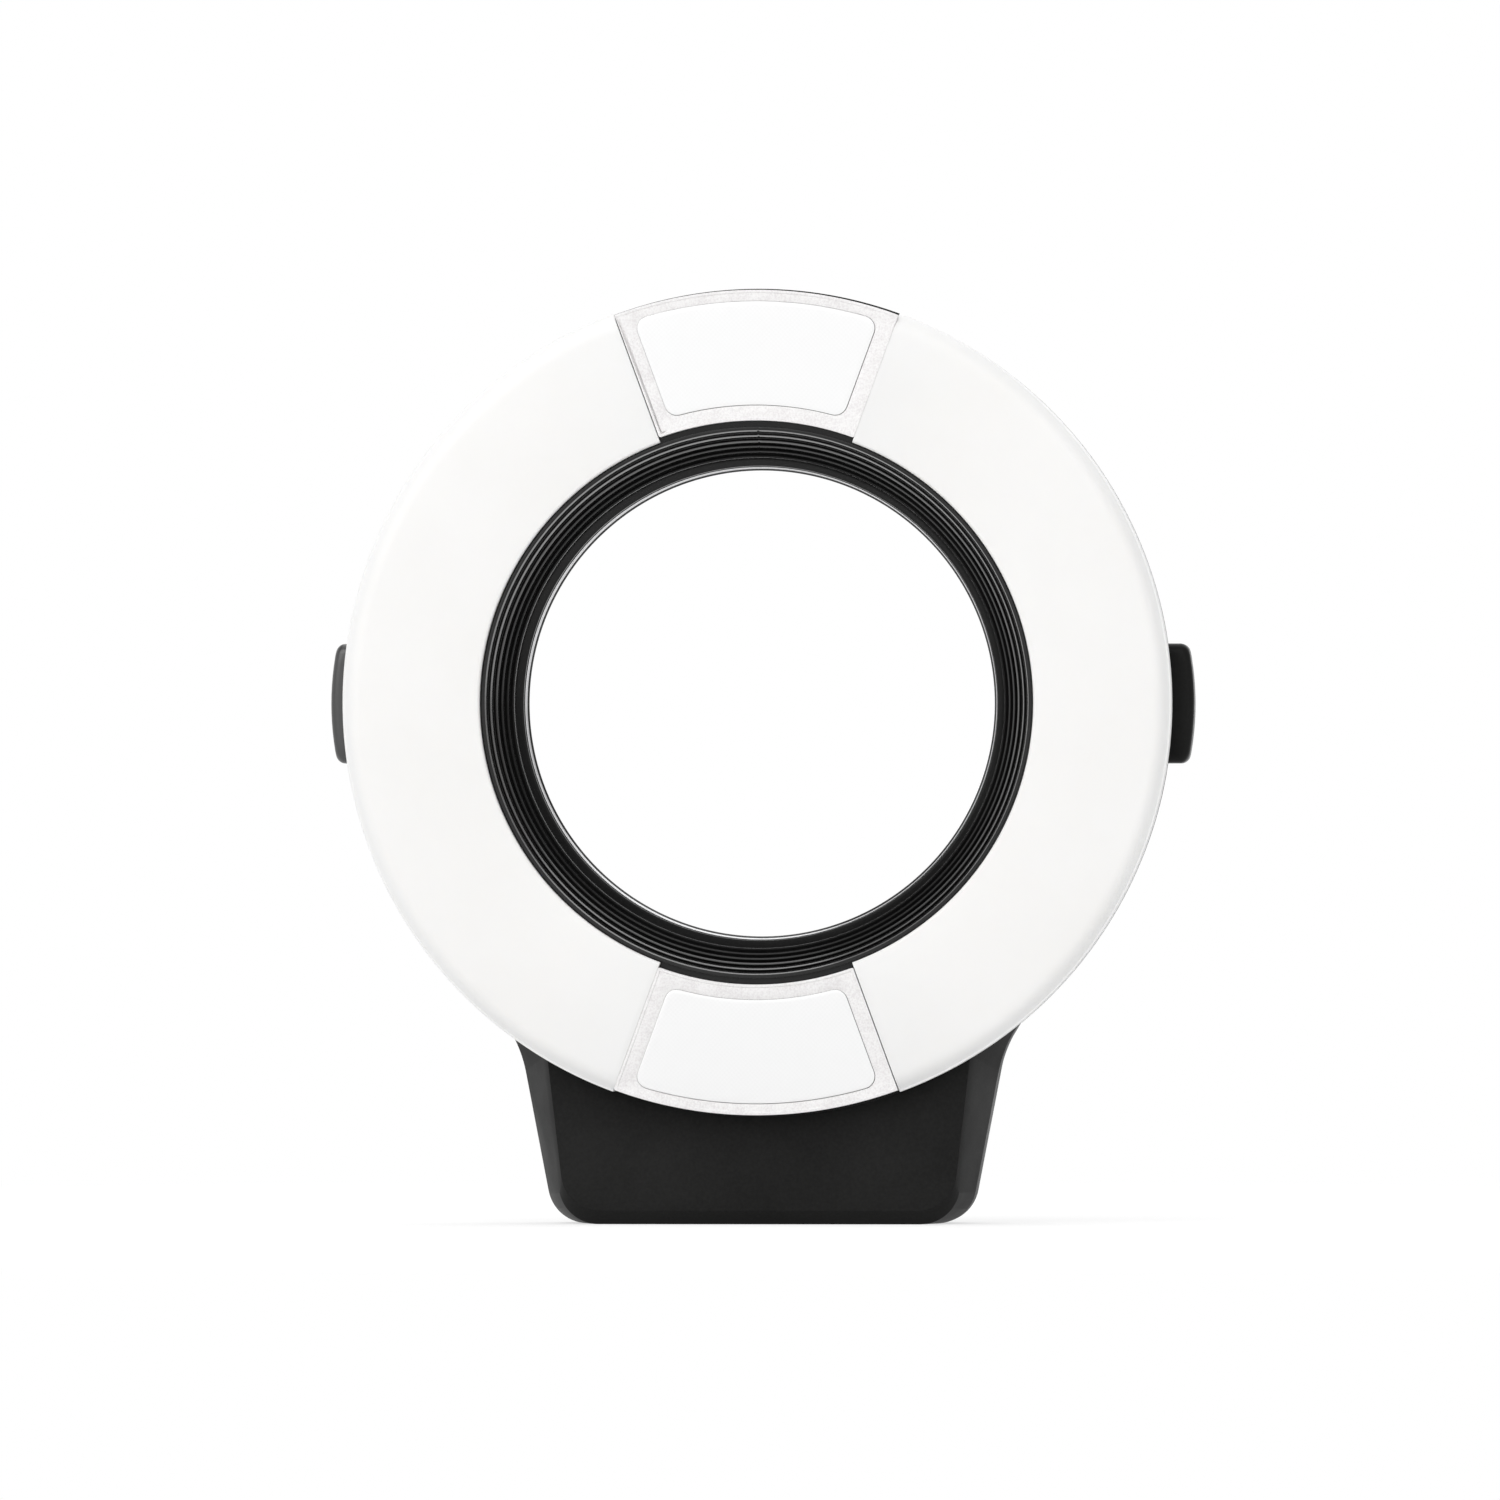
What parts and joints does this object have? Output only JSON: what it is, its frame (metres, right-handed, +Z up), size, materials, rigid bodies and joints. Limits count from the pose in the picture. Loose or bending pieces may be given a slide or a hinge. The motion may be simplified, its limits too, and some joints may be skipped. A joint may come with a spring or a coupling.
{
  "type": "macro ring flash head",
  "caption": "Ring-shaped macro flash head with milky arc diffusers, focus light windows, a ribbed lens tunnel, sprung side release buttons and a box with a lead inlet below.",
  "frame": {"origin": "centre of the adapter seat, on the flash head's rear plane", "axes": "+Y along the optical axis towards the camera, so the diffusers face -Y; +Z up, away from the box; +X to the right as seen from the front"},
  "size_m": [0.1314, 0.028, 0.1401],
  "materials": {
    "body_black": "fine satin grain",
    "baffle_black": "matt, ribbed",
    "button_black": "satin",
    "silver_ring": "bright turned",
    "diffuser_white": "milky, smooth",
    "frosted_frame": "frosted, fine speckle",
    "window_white": "smooth, bright",
    "reflector_bright": "polished sheet",
    "tube_glass": "clear glass",
    "steel": "plain",
    "spring_steel": "drawn wire",
    "screw_steel": "blackened",
    "boot_rubber": "soft silicone",
    "board_green": "lacquered laminate",
    "led_white": "phosphor package",
    "copper": "enamelled copper winding",
    "can_black": "sleeved can",
    "connector_white": "moulded socket",
    "gland_rubber": "moulded rubber"
  },
  "bodies": {
    "housing": {"front_body": "body_black", "rear_cover": "body_black", "ribbed_baffle": "baffle_black", "bore_ring": "silver_ring", "flash_diffuser_a": "diffuser_white", "flash_diffuser_b": "diffuser_white", "focus_bezel_top": "frosted_frame", "focus_bezel_bottom": "frosted_frame", "focus_lens_top": "window_white", "focus_lens_bottom": "window_white", "reflector_a": "reflector_bright", "reflector_b": "reflector_bright", "flash_tube_a": "tube_glass", "flash_tube_b": "tube_glass", "tube_electrodes_a": "steel", "tube_electrodes_b": "steel", "tube_boots_a": "boot_rubber", "tube_boots_b": "boot_rubber", "led_board_top": "board_green", "led_board_bottom": "board_green", "focus_leds_top": "led_white", "focus_leds_bottom": "led_white", "release_spring_right": "spring_steel", "release_spring_left": "spring_steel", "latch_retainer": "steel", "retainer_screws": "screw_steel", "cover_screws": "screw_steel", "trigger_board": "board_green", "trigger_coils": "copper", "trigger_capacitors": "can_black", "board_connector": "connector_white", "board_screws": "screw_steel", "cable_gland": "gland_rubber"},
    "release_right": {"release_button_right": "button_black", "latch_plate_right": "steel"},
    "release_left": {"release_button_left": "button_black", "latch_plate_left": "steel"}
  },
  "joints": [
    {"name": "release_right", "type": "slide", "parent": "housing", "child": "release_right", "axis": [-1, 0, 0], "range_m": [0, 0.002], "stiffness_N_per_m": 800, "springref_m": -0.0015, "deforming": ["release_spring_right"]},
    {"name": "release_left", "type": "slide", "parent": "housing", "child": "release_left", "axis": [1, 0, 0], "range_m": [0, 0.002], "stiffness_N_per_m": 800, "springref_m": -0.0015, "deforming": ["release_spring_left"]}
  ]
}
